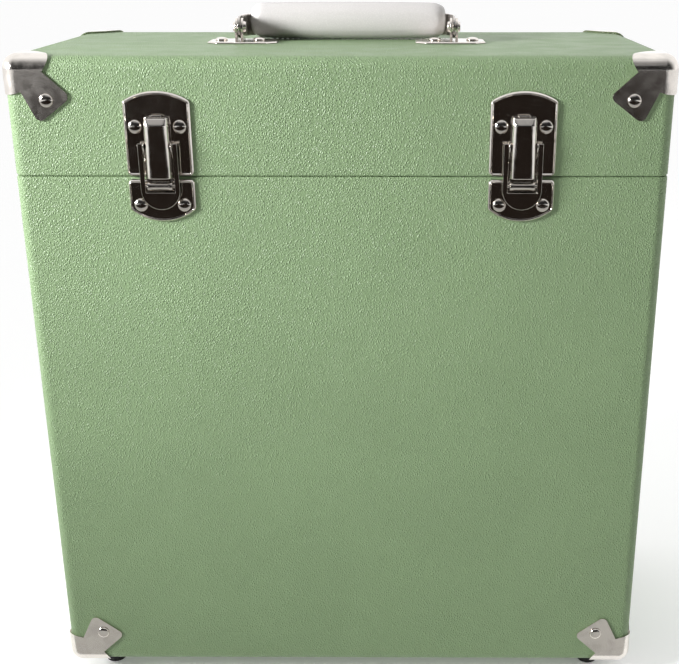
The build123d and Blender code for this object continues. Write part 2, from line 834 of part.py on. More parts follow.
for side_name, side in SIDES.items():
    with BuildPart() as base_leaf:
        hinge_leaf(side * hinge_spread, -1, base_knuckles, lid_knuckles, hinge_pin_radius)
        add(base_bores, mode=Mode.SUBTRACT)
    save(base_leaf.part, f"hinge_base_leaf_{side_name}")

    with BuildPart() as lid_leaf:
        hinge_leaf(side * hinge_spread, 1, lid_knuckles, base_knuckles, hinge_pin_radius + pin_clearance)
        add(lid_bores, mode=Mode.SUBTRACT)
    save(lid_leaf.part, f"hinge_lid_leaf_{side_name}")

with BuildPart() as hinge_pins:
    for side in SIDES.values():
        with BuildSketch(Plane.YZ.offset(side * hinge_spread)):
            with Locations((hinge_axis_y, parting_z)):
                Circle(hinge_pin_radius)
        extrude(amount=hinge_width / 2, both=True)
save(hinge_pins.part, "hinge_pins")
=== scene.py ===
"""Looks of a record carrying case: leatherette, nickel hardware and a padded handle round the CAD frame."""
import math

import bmesh
import bpy
from mathutils import Matrix, Vector, noise


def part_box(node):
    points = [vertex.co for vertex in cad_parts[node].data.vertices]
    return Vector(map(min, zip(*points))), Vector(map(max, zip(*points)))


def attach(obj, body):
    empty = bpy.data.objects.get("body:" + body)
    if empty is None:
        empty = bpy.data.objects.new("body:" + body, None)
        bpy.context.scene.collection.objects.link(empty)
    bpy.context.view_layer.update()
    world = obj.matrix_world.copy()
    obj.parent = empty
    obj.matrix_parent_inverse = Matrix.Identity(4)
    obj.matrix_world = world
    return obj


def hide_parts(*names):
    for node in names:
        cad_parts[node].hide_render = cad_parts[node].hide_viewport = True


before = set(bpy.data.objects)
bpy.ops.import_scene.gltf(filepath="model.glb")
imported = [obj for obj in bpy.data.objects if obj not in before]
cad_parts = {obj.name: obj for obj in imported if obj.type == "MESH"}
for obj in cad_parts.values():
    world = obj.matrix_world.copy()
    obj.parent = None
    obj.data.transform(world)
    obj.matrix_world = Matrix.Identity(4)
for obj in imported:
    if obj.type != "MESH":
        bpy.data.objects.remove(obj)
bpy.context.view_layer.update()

MM = 0.001
SIDES = {"left": -1, "right": 1}
ENDS = ("front", "back")
WELD_DISTANCE = 0.001 * MM

# ---------------------------------------------------------------- places read from the frame
base_low, base_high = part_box("base_covering")
lid_low, lid_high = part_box("lid_covering")
front_y = base_low.y
back_y = base_high.y
half_width = base_high.x
half_depth = (back_y - front_y) / 2
centre_y = (front_y + back_y) / 2
lid_top_z = lid_high.z
parting_z = (base_high.z + lid_low.z) / 2
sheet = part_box("base_front_board")[0].y - front_y
base_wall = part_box("lip_front")[0].y - front_y
lid_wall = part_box("lid_front_board")[1].y - front_y


# ---------------------------------------------------------------- mesh helpers
def shade_smooth(mesh):
    """Shade every face of a mesh smoothly."""
    for polygon in mesh.polygons:
        polygon.use_smooth = True


def make_piece(name, mesh_builder, body, slot, replaces=()):
    """Build one closed mesh piece, put it on a body and give it its finish."""
    form = bmesh.new()
    mesh_builder(form)
    bmesh.ops.recalc_face_normals(form, faces=form.faces)
    mesh = bpy.data.meshes.new(name)
    form.to_mesh(mesh)
    form.free()
    shade_smooth(mesh)
    piece = bpy.data.objects.new(name, mesh)
    bpy.context.scene.collection.objects.link(piece)
    mesh.materials.append(finishes[slot])
    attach(piece, body)
    if replaces:
        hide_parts(*replaces)
    even_normals(piece)
    return piece


def even_normals(piece):
    """Shade flat faces flat and roundings round."""
    weighted = piece.modifiers.new("even_normals", "WEIGHTED_NORMAL")
    weighted.weight = 100
    weighted.keep_sharp = True


def loft(form, rings):
    """Closed skin through rings of equal count, capped at both ends."""
    layers = [[form.verts.new(point) for point in ring] for ring in rings]
    for lower, upper in zip(layers, layers[1:]):
        for index in range(len(lower)):
            following = (index + 1) % len(lower)
            form.faces.new((lower[index], lower[following], upper[following], upper[index]))
    form.faces.new(layers[0][::-1])
    form.faces.new(layers[-1])


def inset_outline(points, distance):
    """Closed outline moved inwards by a distance, corners kept square."""
    least_cosine = 0.3
    moved = []
    for index, point in enumerate(points):
        before = (point - points[index - 1]).normalized()
        after = (points[(index + 1) % len(points)] - point).normalized()
        inward_before = Vector((-before.y, before.x))
        inward_after = Vector((-after.y, after.x))
        bisector = (inward_before + inward_after).normalized()
        moved.append(point + bisector * (distance / max(bisector.dot(inward_after), least_cosine)))
    return moved


def rounded_outline(corners, radius, steps=6):
    """Closed outline with every sharp corner turned into an arc."""
    least_turn = math.radians(20)
    points = []
    corners = [Vector(corner) for corner in corners]
    for index, corner in enumerate(corners):
        arriving = (corner - corners[index - 1]).normalized()
        leaving = (corners[(index + 1) % len(corners)] - corner).normalized()
        turn = arriving.angle_signed(leaving)
        if abs(turn) < least_turn:
            points.append(corner)
            continue
        reach = radius * math.tan(abs(turn) / 2)
        start = corner - arriving * reach
        finish = corner + leaving * reach
        centre = corner + (start + finish - 2 * corner).normalized() * radius / math.cos(abs(turn) / 2)
        swing = (start - centre).angle_signed(finish - centre)
        for step in range(steps + 1):
            spoke = (start - centre).copy()
            spoke.rotate(Matrix.Rotation(-swing * step / steps, 2))
            points.append(centre + spoke)
    return points


def stamping(form, place, outline, levels):
    """Solid from one outline at several levels, each level with its own inset."""
    rings = []
    for height, inset in levels:
        rings.append([place(point.x, point.y, height) for point in inset_outline(outline, inset)])
    loft(form, rings)


def rectangle(low, high):
    """Outline of a rectangle, anticlockwise."""
    return [Vector((low[0], low[1])), Vector((high[0], low[1])), Vector(high), Vector((low[0], high[1]))]


def soft_levels(low, high, edge):
    """Levels of a plate whose edges are eased on both faces."""
    shoulder = 0.3 * edge
    return [
        (low, edge),
        (low + shoulder, shoulder),
        (low + edge, 0),
        (high - edge, 0),
        (high - shoulder, shoulder),
        (high, edge),
    ]


def in_millimetres(levels):
    """Levels whose heights and insets are given in millimetres."""
    return [(height * MM, inset * MM) for height, inset in levels]


def lathe(form, place, profile, segments=40):
    """Turned solid: profile points are radius and height along the axis."""
    rings = []
    for radius, height in profile:
        ring = []
        for index in range(segments):
            angle = math.tau * index / segments
            ring.append(place(radius * math.cos(angle), radius * math.sin(angle), height))
        rings.append(ring)
    loft(form, rings)


def islands(node):
    """Boxes of the separate solids in one CAD node."""
    form = bmesh.new()
    form.from_mesh(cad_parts[node].data)
    bmesh.ops.remove_doubles(form, verts=form.verts, dist=WELD_DISTANCE)
    unseen = set(form.verts)
    boxes = []
    while unseen:
        reached = [unseen.pop()]
        low = reached[0].co.copy()
        high = reached[0].co.copy()
        while reached:
            vertex = reached.pop()
            low = Vector(map(min, low, vertex.co))
            high = Vector(map(max, high, vertex.co))
            for edge in vertex.link_edges:
                other = edge.other_vert(vertex)
                if other in unseen:
                    unseen.remove(other)
                    reached.append(other)
        boxes.append((low, high))
    form.free()
    return sorted(boxes, key=lambda box: (round(box[0].x, 5), round(box[0].y, 5), round(box[0].z, 5)))


# ---------------------------------------------------------------- shader helpers
# Places of the colour sockets on a mix node.
FIRST_COLOR, SECOND_COLOR, MIXED_COLOR = 6, 7, 2


class Shader:
    """One material: its principled shader, and short calls for the nodes that feed it."""

    def __init__(self, name, color, roughness, metallic=0.0, **constants):
        self.material = bpy.data.materials.new(name)
        self.material.use_nodes = True
        self.tree = self.material.node_tree
        self.principled = self.tree.nodes["Principled BSDF"]
        self.principled.inputs["Base Color"].default_value = (*color, 1)
        self.principled.inputs["Roughness"].default_value = roughness
        self.principled.inputs["Metallic"].default_value = metallic
        for socket, value in constants.items():
            self.principled.inputs[socket.replace("_", " ")].default_value = value
        self.coordinates = self.tree.nodes.new("ShaderNodeTexCoord").outputs["Object"]

    def node(self, kind, **settings):
        """New node of a kind, with its settings."""
        made = self.tree.nodes.new(kind)
        for key, value in settings.items():
            setattr(made, key, value)
        return made

    def link(self, source, target):
        self.tree.links.new(source, target)

    def mapped(self, scale, turn=(0, 0, 0)):
        """Object coordinates stretched and turned."""
        mapping = self.node("ShaderNodeMapping")
        mapping.inputs["Scale"].default_value = scale
        mapping.inputs["Rotation"].default_value = turn
        self.link(self.coordinates, mapping.inputs["Vector"])
        return mapping.outputs["Vector"]

    def noise(self, size, detail=3.0, vector=None, distortion=0.0):
        """Noise whose blotches are about as wide as size, in metres."""
        made = self.node("ShaderNodeTexNoise")
        made.inputs["Scale"].default_value = 1 / size
        made.inputs["Detail"].default_value = detail
        made.inputs["Distortion"].default_value = distortion
        self.link(vector or self.coordinates, made.inputs["Vector"])
        return made.outputs["Fac"]

    def cells(self, size, vector):
        """Distance to the edge of cells that are about as wide as size, in metres."""
        made = self.node("ShaderNodeTexVoronoi", feature="DISTANCE_TO_EDGE")
        made.inputs["Scale"].default_value = 1 / size
        self.link(vector, made.inputs["Vector"])
        return made.outputs["Distance"]

    def shifted(self, amount, size, vector):
        """Vector pushed about by noise, so that a regular pattern turns irregular."""
        noisy = self.node("ShaderNodeTexNoise")
        noisy.inputs["Scale"].default_value = 1 / size
        self.link(vector, noisy.inputs["Vector"])
        scaled = self.node("ShaderNodeVectorMath", operation="MULTIPLY_ADD")
        scaled.inputs[1].default_value = (amount, amount, amount)
        self.link(noisy.outputs["Color"], scaled.inputs[0])
        self.link(vector, scaled.inputs[2])
        return scaled.outputs["Vector"]

    def spread(self, value, low, high, to_low=0.0, to_high=1.0):
        """Value stretched from one range to another, and kept inside it."""
        made = self.node("ShaderNodeMapRange", interpolation_type="SMOOTHSTEP")
        limits = {"From Min": low, "From Max": high, "To Min": to_low, "To Max": to_high}
        for socket, number in limits.items():
            made.inputs[socket].default_value = number
        self.link(value, made.inputs["Value"])
        return made.outputs["Result"]

    def blend_colors(self, factor, first, second):
        """Colour that turns from first to second as the factor rises."""
        made = self.node("ShaderNodeMix", data_type="RGBA")
        self.link(factor, made.inputs["Factor"])
        for socket, color in ((made.inputs[FIRST_COLOR], first), (made.inputs[SECOND_COLOR], second)):
            if isinstance(color, tuple):
                socket.default_value = (*color, 1)
            else:
                self.link(color, socket)
        return made.outputs[MIXED_COLOR]

    def total(self, first, second, weight):
        """First value plus the weighted second one."""
        made = self.node("ShaderNodeMath", operation="MULTIPLY_ADD")
        made.inputs[1].default_value = weight
        self.link(second, made.inputs[0])
        self.link(first, made.inputs[2])
        return made.outputs["Value"]

    def paint(self, color, roughness):
        """Feed the surface its colour and its roughness."""
        self.link(color, self.principled.inputs["Base Color"])
        self.link(roughness, self.principled.inputs["Roughness"])

    def bump(self, height, depth):
        """Raise the surface by a height map whose full scale is depth metres."""
        made = self.node("ShaderNodeBump")
        made.inputs["Strength"].default_value = 1
        made.inputs["Distance"].default_value = depth
        self.link(height, made.inputs["Height"])
        self.link(made.outputs["Normal"], self.principled.inputs["Normal"])


def shade(color, factor):
    """Colour made lighter or darker."""
    return tuple(channel * factor for channel in color)


# ---------------------------------------------------------------- materials
def leatherette(name, color, pebble, depth, roughness):
    """Grained vinyl: rounded pebbles between fine creases, the creases darkened as painted shade, over slow
    changes of tone.
    """
    made = Shader(name, color, roughness, Specular_IOR_Level=0.42)
    slanted = made.mapped(scale=(1.0, 1.0, 0.72), turn=(0.3, 0.5, 0.25))
    wandering = made.shifted(0.9 * pebble, 2.2 * pebble, slanted)
    pebbles = made.spread(made.cells(pebble, wandering), 0.0, 0.42)
    fine = made.noise(0.35 * pebble, detail=2.0)
    tone = made.noise(70 * MM, detail=2.0)
    # Painted shade: the colour is darkened in the creases between the pebbles, where the bump sinks.
    crease_shaded = made.blend_colors(pebbles, shade(color, 0.84), shade(color, 1.03))
    patchy = made.blend_colors(made.spread(tone, 0.35, 0.65), shade(color, 0.96), shade(color, 1.04))
    blended = made.blend_colors(made.spread(fine, 0.3, 0.7, 0.25, 0.6), crease_shaded, patchy)
    gloss = made.spread(made.noise(18 * MM), 0.3, 0.7, roughness - 0.05, roughness + 0.06)
    made.paint(blended, gloss)
    made.bump(made.total(pebbles, fine, 0.35), depth)
    return made.material


def nickel(name, color, roughness, dents, dent_size=3 * MM):
    """Plated metal: fine polishing haze, faint scratches and the slight unevenness of a pressed sheet."""
    made = Shader(name, color, roughness, metallic=1.0)
    haze = made.noise(6 * MM, detail=4.0)
    drawn_out = made.mapped(scale=(1.0, 0.08, 1.0), turn=(0.2, 0.6, 0.9))
    scratches = made.noise(1.2 * MM, detail=2.0, vector=drawn_out)
    stain = made.noise(9 * MM, detail=3.0, distortion=0.6)
    tinted = made.blend_colors(made.spread(stain, 0.42, 0.72), color, shade(color, 0.86))
    hazy = made.total(made.spread(haze, 0.35, 0.7, roughness * 0.75, roughness * 1.35), scratches, 0.04)
    made.paint(tinted, hazy)
    waves = made.noise(dent_size, detail=1.5)
    made.bump(made.total(waves, scratches, 0.02), dents)
    return made.material


def wood(name):
    """Plain light board, its fibres running along X."""
    made = Shader(name, (0.42, 0.29, 0.17), 0.72)
    fibres = made.noise(2.4 * MM, detail=5.0, vector=made.mapped(scale=(0.05, 1.0, 1.0)))
    rings = made.noise(14 * MM, detail=2.0, vector=made.mapped(scale=(0.12, 1.0, 1.0)), distortion=1.2)
    striped = made.blend_colors(made.spread(fibres, 0.35, 0.68), (0.50, 0.36, 0.22), (0.33, 0.21, 0.12))
    banded = made.blend_colors(made.spread(rings, 0.4, 0.62, 0.0, 0.5), striped, (0.40, 0.26, 0.15))
    made.paint(banded, made.spread(fibres, 0.3, 0.7, 0.65, 0.82))
    made.bump(fibres, 0.12 * MM)
    return made.material


def paper(name, color, fleck):
    """Lining paper or lined board: short fibres, faint clouds and a matt surface."""
    made = Shader(name, color, 0.85, Specular_IOR_Level=0.25)
    clouds = made.noise(22 * MM, detail=3.0)
    laid = made.mapped(scale=(0.35, 1.0, 1.0), turn=(0.4, 0.2, 0.7))
    fibres = made.noise(0.9 * MM, detail=4.0, vector=laid)
    cloudy = made.blend_colors(made.spread(clouds, 0.35, 0.65), shade(color, 0.9), shade(color, 1.08))
    flecked = made.blend_colors(made.spread(fibres, 0.55, 0.72, 0.0, 0.6), cloudy, fleck)
    made.paint(flecked, made.spread(fibres, 0.3, 0.7, 0.78, 0.92))
    made.bump(fibres, 0.08 * MM)
    return made.material


def rubber(name):
    """Black moulded rubber, dusty on its high spots."""
    made = Shader(name, (0.012, 0.012, 0.012), 0.62, Specular_IOR_Level=0.4)
    dust = made.noise(4 * MM, detail=4.0)
    grain = made.noise(0.4 * MM, detail=2.0)
    made.paint(
        made.blend_colors(made.spread(dust, 0.5, 0.8), (0.010, 0.010, 0.010), (0.045, 0.043, 0.040)),
        made.spread(dust, 0.3, 0.7, 0.5, 0.75),
    )
    made.bump(grain, 0.05 * MM)
    return made.material


def foam(name):
    """Pale open-cell padding, darkened where the cells meet as painted shade in the grooves."""
    made = Shader(name, (0.55, 0.50, 0.38), 0.95, Specular_IOR_Level=0.1)
    cells = made.cells(0.8 * MM, made.shifted(0.5 * MM, 2 * MM, made.coordinates))
    # Painted shade: darker along the cell edges, where the bump sinks into grooves.
    made.paint(
        made.blend_colors(made.spread(cells, 0.0, 0.4), (0.36, 0.31, 0.22), (0.60, 0.55, 0.43)),
        made.spread(cells, 0.0, 0.5, 0.98, 0.9),
    )
    made.bump(cells, 0.3 * MM)
    return made.material


GREEN = (0.205, 0.295, 0.153)
OFF_WHITE = (0.57, 0.55, 0.54)
WARM_NICKEL = (0.80, 0.755, 0.705)

finishes = {
    "leatherette": leatherette("sage_leatherette", GREEN, 1.15 * MM, 0.28 * MM, 0.45),
    "handle_leatherette": leatherette("off_white_leatherette", OFF_WHITE, 0.8 * MM, 0.03 * MM, 0.42),
    "nickel_corner": nickel("nickel_corner", WARM_NICKEL, 0.17, dents=0.012 * MM, dent_size=1.1 * MM),
    "nickel_rivet": nickel("nickel_rivet", WARM_NICKEL, 0.10, dents=0.02 * MM),
    "nickel_latch": nickel("nickel_latch", WARM_NICKEL, 0.08, dents=0.03 * MM, dent_size=6 * MM),
    "nickel_hinge": nickel("nickel_hinge", WARM_NICKEL, 0.16, dents=0.03 * MM),
    "handle_steel": nickel("handle_steel", (0.62, 0.59, 0.56), 0.2, dents=0.03 * MM),
    "screw_steel": nickel("screw_steel", (0.55, 0.55, 0.56), 0.3, dents=0.02 * MM),
    "board": wood("light_board"),
    "lining": paper("charcoal_lining", (0.030, 0.030, 0.031), (0.075, 0.073, 0.070)),
    "lining_board": paper("charcoal_lip", (0.026, 0.026, 0.027), (0.065, 0.063, 0.060)),
    "foot_rubber": rubber("foot_rubber"),
    "handle_foam": foam("handle_foam"),
}


# ---------------------------------------------------------------- CAD nodes that keep their shape
def dress(node, finish, edge):
    """Give a CAD node its finish and ease its sharp edges."""
    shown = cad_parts[node]
    shown.data.materials.clear()
    shown.data.materials.append(finishes[finish])
    weld = shown.modifiers.new("weld", "WELD")
    weld.merge_threshold = WELD_DISTANCE
    bevel = shown.modifiers.new("eased_edges", "BEVEL")
    bevel.width = edge
    bevel.segments = 2
    bevel.limit_method = "ANGLE"
    bevel.angle_limit = math.radians(35)
    even_normals(shown)


for half in ("base", "lid"):
    for place in ("front", "back", "left", "right"):
        dress(f"{half}_{place}_board", "board", 0.2 * MM)
    for end in ENDS:
        for side in SIDES:
            dress(f"{half}_corner_{end}_{side}", "nickel_corner", 0.3 * MM)
    dress(f"{half}_lining", "lining", 0.15 * MM)
    for side in SIDES:
        dress(f"hinge_{half}_leaf_{side}", "nickel_hinge", 0.2 * MM)
dress("base_bottom", "board", 0.2 * MM)
dress("lid_top", "board", 0.2 * MM)
for place in ("front", "back", "left", "right"):
    dress(f"lip_{place}", "lining_board", 0.4 * MM)
dress("hinge_pins", "nickel_hinge", 0.15 * MM)
dress("handle_strap", "handle_steel", 0.25 * MM)
dress("handle_pivot_pins", "nickel_rivet", 0.3 * MM)
dress("latch_lever_pins", "nickel_latch", 0.1 * MM)
for side in SIDES:
    dress(f"latch_link_pin_{side}", "nickel_latch", 0.1 * MM)
for end in ENDS:
    for side in SIDES:
        dress(f"foot_{end}_{side}", "foot_rubber", 0.4 * MM)

# ---------------------------------------------------------------- leatherette skins
corner_radius = 7 * MM
least_corner_radius = 0.4 * MM
panel_insets = (60 * MM, 40 * MM, 24 * MM, 12 * MM)
rim_radius = 1.3 * MM
rim_stand = 0.12 * MM
turn_in_sheet = 0.4 * MM
arc_steps = 8
grid_pitch = 14 * MM


def wall_ring(inset, z):
    """Ring of points round the case at one level, its corners rounded."""
    radius = max(corner_radius - inset, least_corner_radius)
    half_x = half_width - inset - radius
    half_y = half_depth - inset - radius
    arcs = []
    for quarter, (side_x, side_y) in enumerate(((1, 1), (-1, 1), (-1, -1), (1, -1))):
        centre = Vector((side_x * half_x, centre_y + side_y * half_y, z))
        angles = [math.pi / 2 * (quarter + step / arc_steps) for step in range(arc_steps + 1)]
        arcs.append([centre + radius * Vector((math.cos(a), math.sin(a), 0)) for a in angles])
    ring = []
    for index, arc in enumerate(arcs):
        ring.extend(arc)
        following = arcs[(index + 1) % len(arcs)][0]
        length = 2 * (half_width if index % 2 == 0 else half_depth)
        pieces = round(length / grid_pitch)
        ring.extend(arc[-1].lerp(following, step / pieces) for step in range(1, pieces))
    return ring


def skin(form, closed_z, rim_z, wall):
    """Leatherette over one half: panel, rounded edge, walls, and the turn-in over the rim."""
    toward_rim = 1 if rim_z > closed_z else -1
    height = abs(rim_z - closed_z)
    stations = [(inset, 0) for inset in panel_insets]
    for step in range(arc_steps + 1):
        angle = math.pi / 2 * step / arc_steps
        stations.append((corner_radius * (1 - math.sin(angle)), corner_radius * (1 - math.cos(angle))))
    pieces = max(round((height - corner_radius - rim_radius) / grid_pitch), 2)
    for step in range(1, pieces):
        stations.append((0, corner_radius + (height - corner_radius - rim_radius) * step / pieces))
    for step in range(arc_steps + 1):
        angle = math.pi / 2 * step / arc_steps
        stations.append((rim_radius * (1 - math.cos(angle)), height - rim_radius * (1 - math.sin(angle))))
    stations.append((wall, height))
    stations.append((wall, height - turn_in_sheet))
    stations.append((sheet + turn_in_sheet, height - turn_in_sheet))
    stations.append((sheet, height - rim_radius))
    stations.append((sheet, corner_radius))
    stations.append((corner_radius, sheet))
    loft(form, [wall_ring(inset, closed_z + toward_rim * rise) for inset, rise in stations])


def settle(piece):
    """Let the skin follow the slight unevenness of its boards, never outwards."""
    dip = 0.14 * MM
    wave = 75 * MM
    for vertex in piece.data.vertices:
        place = vertex.co
        on_side = abs(abs(place.x) - half_width) < sheet / 2
        on_end = abs(abs(place.y - centre_y) - half_depth) < sheet / 2
        on_top = abs(place.z - lid_top_z) < sheet / 2
        amount = dip * (0.5 + 0.5 * noise.noise(place / wave))
        if on_top:
            place.z -= amount
        elif on_end:
            place.y -= math.copysign(amount, place.y - centre_y)
        elif on_side:
            place.x -= math.copysign(amount, place.x)


base_skin = make_piece(
    "base_leatherette",
    lambda form: skin(form, base_low.z, base_high.z + rim_stand, base_wall),
    "base",
    "leatherette",
    replaces=["base_covering"],
)
lid_skin = make_piece(
    "lid_leatherette",
    lambda form: skin(form, lid_top_z, lid_low.z - rim_stand, lid_wall),
    "lid",
    "leatherette",
    replaces=["lid_covering"],
)
for covered in (base_skin, lid_skin):
    settle(covered)


# ---------------------------------------------------------------- rivets
def rivet(form, low, high):
    """Domed rivet in the box of its CAD solid, its head on the outside of the case."""
    size = high - low
    axis = max(range(3), key=lambda index: size[index])
    middle = (low + high) / 2
    outside = -1 if axis == 1 and middle.y < centre_y else 1
    if axis == 0:
        outside = 1 if middle.x > 0 else -1
    tip = middle.copy()
    tip[axis] = high[axis] if outside > 0 else low[axis]
    head_radius = min(size[index] for index in range(3) if index != axis) / 2
    head_height = 1.8 * MM
    brim = 0.22
    fullness = 0.9
    dome_steps = 8
    tip_radius = 0.02 * MM
    shank_radius = 1.5 * MM
    underside = 0.97 * head_radius
    brim_edge = 0.12 * head_height
    clinch = 0.72 * head_radius
    clinch_height = 0.8 * MM
    length = size[axis]
    across = Vector([1.0 if index == (axis + 1) % 3 else 0.0 for index in range(3)])
    along = Vector([float(outside) if index == axis else 0.0 for index in range(3)])
    up = along.cross(across)

    def place(u, v, w):
        return tip + across * u + up * v + along * (w - head_height)

    dome = []
    for step in range(dome_steps + 1):
        angle = math.pi / 2 * step / dome_steps
        radius = head_radius * math.cos(angle) ** fullness
        dome.append((radius, head_height * (brim + (1 - brim) * math.sin(angle))))
    dome[-1] = (tip_radius, head_height)
    tail = head_height - length
    profile = [(clinch * 0.5, tail), (clinch, tail + 0.2 * MM), (clinch, tail + clinch_height)]
    profile += [(shank_radius, tail + clinch_height + 0.1 * MM), (shank_radius, 0), (underside, 0)]
    lathe(form, place, profile + [(head_radius, brim_edge)] + dome)


def rivets(node):
    """Builder for all rivets of one body."""

    def build(form):
        for low, high in islands(node):
            rivet(form, low, high)

    return build


for half in ("base", "lid"):
    make_piece(
        f"{half}_domed_rivets",
        rivets(f"{half}_rivets"),
        half,
        "nickel_rivet",
        replaces=[f"{half}_rivets"],
    )

# ---------------------------------------------------------------- latches
# Heights above the face of the case, and how far the outline is drawn in: a bevelled bead round a flat field.
rim_levels = in_millimetres(
    (
        (0.0, 0.0),
        (0.72, 0.0),
        (0.86, 0.06),
        (1.20, 0.38),
        (1.55, 0.74),
        (1.68, 0.90),
        (1.70, 1.04),
        (1.60, 1.20),
        (1.25, 1.50),
        (1.10, 1.75),
    )
)
arch_steps = 16

# The levers turn on the bearers, and the links on the levers.
# Their axes are placed out from the face and up from the parting line.
lever_axis_out = 4.6 * MM
lever_axis_up = 16.8 * MM
link_axis_out = 3.8 * MM
link_axis_up = -4.3 * MM
lever_half_width = 10.4 * MM
lever_window_half_width = 7.8 * MM
bearer_half_width = 7.6 * MM


def latch_place(centre_x):
    """Place on the front at one latch: across, up from the parting line, out from the face."""
    return lambda across, up, out: Vector((centre_x + across, front_y - out, parting_z + up))


def latch_side_place(centre_x):
    """The same for outlines drawn from the side: out, up, across."""
    return lambda out, up, across: Vector((centre_x + across, front_y - out, parting_z + up))


def arched_outline(half, straight, shoulder, crown):
    """Latch plate outline: square at one end and arched at the other."""
    rise = crown - shoulder
    radius = (half**2 + rise**2) / (2 * rise)
    reach = math.asin(half / abs(radius))
    corners = [(-half, straight), (half, straight)]
    for step in range(arch_steps + 1):
        angle = reach * (1 - 2 * step / arch_steps)
        corners.append((abs(radius) * math.sin(angle), crown + radius * (math.cos(angle) - 1)))
    if rise < 0:
        corners = corners[::-1]
    corner = 2.5 * MM
    return rounded_outline(corners, corner)


def arc_points(centre, radius, first, last, steps=14):
    """Points of an arc, angles in degrees."""
    points = []
    for step in range(steps + 1):
        angle = math.radians(first + (last - first) * step / steps)
        points.append(Vector((centre[0] + radius * math.cos(angle), centre[1] + radius * math.sin(angle))))
    return points


def bar(form, centre_x, out, up, profile):
    """Turned bar across a latch, its profile given along X."""

    def place(u, v, w):
        return Vector((centre_x + w, front_y - out - u, parting_z + up + v))

    lathe(form, place, profile, segments=28)


def pin_profile(radius, half, edge):
    """Bar with eased ends."""
    return [(radius - edge, -half), (radius, -half + edge), (radius, half - edge), (radius - edge, half)]


def upper_plate(centre_x, low, high):
    """Lid's latch plate: a dished sheet with a bead round it, and the catch bent out of it."""
    half = (high.x - low.x) / 2
    straight = low.z - parting_z
    crown = high.z - parting_z
    arch_rise = 5.2 * MM
    catch_half = 3.1 * MM
    root = 0.5 * MM
    back = 3.6 * MM
    front = 4.5 * MM
    top = 32.6 * MM

    def build(form):
        outline = arched_outline(half, straight, crown - arch_rise, crown)
        stamping(form, latch_place(centre_x), outline, rim_levels)
        corners = [
            (root, 22.6 * MM),
            (front, 27.6 * MM),
            (front, top),
            (back, top),
            (back, 28.0 * MM),
            (root, 24.4 * MM),
        ]
        catch = rounded_outline(corners, 0.35 * MM, steps=3)
        stamping(form, latch_side_place(centre_x), catch, soft_levels(-catch_half, catch_half, 0.2 * MM))

    return build


def lower_plate(centre_x, low, high):
    """Case's latch plate: a beaded sheet, and the bearer that carries the lever's ears."""
    half = (high.x - low.x) / 2
    crown = low.z - parting_z
    arch_rise = 6.6 * MM
    straight = -1.3 * MM
    fold = -1.9 * MM
    bearer_top = 14.0 * MM
    bearer_back = 2.0 * MM
    bearer_front = 2.6 * MM
    ear_foot = 9.0 * MM
    ear_radius = 1.8 * MM
    ear_inside = 6.9 * MM
    foot_back = 0.4 * MM
    foot_front = 2.5 * MM

    def build(form):
        outline = arched_outline(half, straight, crown + arch_rise, crown)
        stamping(form, latch_place(centre_x), outline, rim_levels)
        tongue = rectangle((-bearer_half_width, fold), (bearer_half_width, bearer_top))
        stamping(form, latch_place(centre_x), tongue, soft_levels(bearer_back, bearer_front, 0.15 * MM))
        foot = rectangle((-bearer_half_width, fold), (bearer_half_width, straight))
        stamping(form, latch_place(centre_x), foot, soft_levels(foot_back, foot_front, 0.1 * MM))
        ear = [Vector((bearer_back, ear_foot))]
        ear += arc_points((lever_axis_out, lever_axis_up), ear_radius, -31, 165)
        ear.append(Vector((bearer_back, bearer_top)))
        for hand in SIDES.values():
            inner, outer = sorted((hand * ear_inside, hand * bearer_half_width))
            stamping(form, latch_side_place(centre_x), ear, soft_levels(inner, outer, 0.12 * MM))

    return build


def lever(centre_x):
    """U-shaped lever: two arms with rolled eyes, and a round finger tab."""

    def build(form):
        half = lever_half_width
        window = lever_window_half_width
        arm_top = 18.3 * MM
        bend = -6.6 * MM
        window_foot = -7.8 * MM
        lean = 0.038
        eye_x = (half + window) / 2
        eye_half = (half - window) / 2
        eye_radius = 1.05 * MM
        back_face = 3.7 * MM
        front_face = 4.75 * MM
        lug_sheet = 0.8 * MM
        lug_back = 2.0 * MM
        lug_front = 3.9 * MM
        lug_low = -6.3 * MM
        lug_high = -2.0 * MM
        corners = [Vector((-window, arm_top)), Vector((-half, arm_top))]
        corners += arc_points((0, bend), half, 180, 360, steps=32)
        corners += [Vector((half, arm_top)), Vector((window, arm_top))]
        corners += [Vector((window, window_foot)), Vector((-window, window_foot))]
        outline = rounded_outline(corners, 0.45 * MM, steps=4)

        def leaning_place(across, up, out):
            return latch_place(centre_x)(across, up, out + lean * max(0, up - bend))

        stamping(form, leaning_place, outline, soft_levels(back_face, front_face, 0.32 * MM))
        for hand in SIDES.values():
            eye = pin_profile(eye_radius, eye_half, 0.25 * MM)
            bar(form, centre_x + hand * eye_x, lever_axis_out, lever_axis_up, eye)
            inner, outer = sorted((hand * window, hand * (window + lug_sheet)))
            lug = rectangle((lug_back, lug_low), (lug_front, lug_high))
            stamping(form, latch_side_place(centre_x), lug, soft_levels(inner, outer, 0.1 * MM))

    return build


def channel_outline(half, back, front, radius, wall):
    """Section of the link from above: a rounded front, open at the back."""
    outer = [Vector((half, back))]
    inner = [Vector((wall - half, back))]
    for hand, first in ((1, 0), (-1, 90)):
        centre = (hand * (half - radius), front - radius)
        outer += arc_points(centre, radius, first, first + 90, steps=8)
    for hand, first in ((-1, 180), (1, 90)):
        centre = (hand * (half - radius), front - radius)
        inner += arc_points(centre, radius - wall, first, first - 90, steps=8)
    return [*outer, Vector((-half, back)), *inner, Vector((half - wall, back))]


